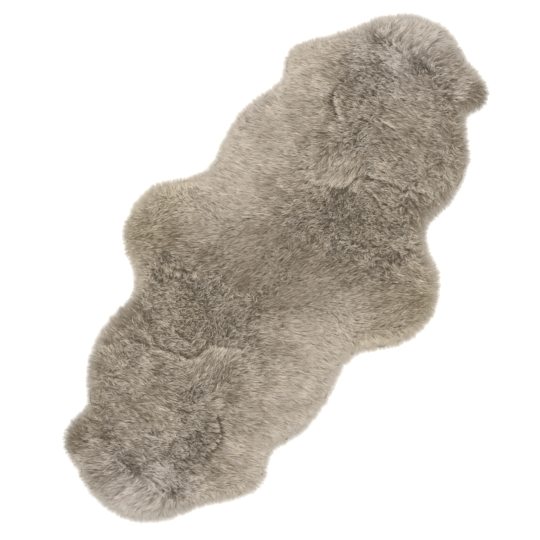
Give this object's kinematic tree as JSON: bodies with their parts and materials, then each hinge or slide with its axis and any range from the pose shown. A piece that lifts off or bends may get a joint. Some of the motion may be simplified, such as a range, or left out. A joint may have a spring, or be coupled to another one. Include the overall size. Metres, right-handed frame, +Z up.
{
  "type": "sheepskin rug",
  "caption": "Long-wool sheepskin floor rug: pelts joined end to end, natural lobed outline, thin leather backing under a thick lumpy wool pile with locks at its rim.",
  "frame": {"origin": "on the floor, under the middle of the rug's outline", "axes": "+Z up out of the wool, +Y along the rug towards the first pelt's head end, +X across it"},
  "size_m": [0.9466, 1.7982, 0.0559],
  "materials": {
    "hide": "suede side of tanned sheepskin, matte",
    "wool": "combed sheep's wool, warm grey-beige, matte"
  },
  "bodies": {
    "root": {"hide_pelt_a": "hide", "hide_pelt_b": "hide", "wool_pelt_a": "wool", "wool_pelt_b": "wool"}
  },
  "joints": []
}
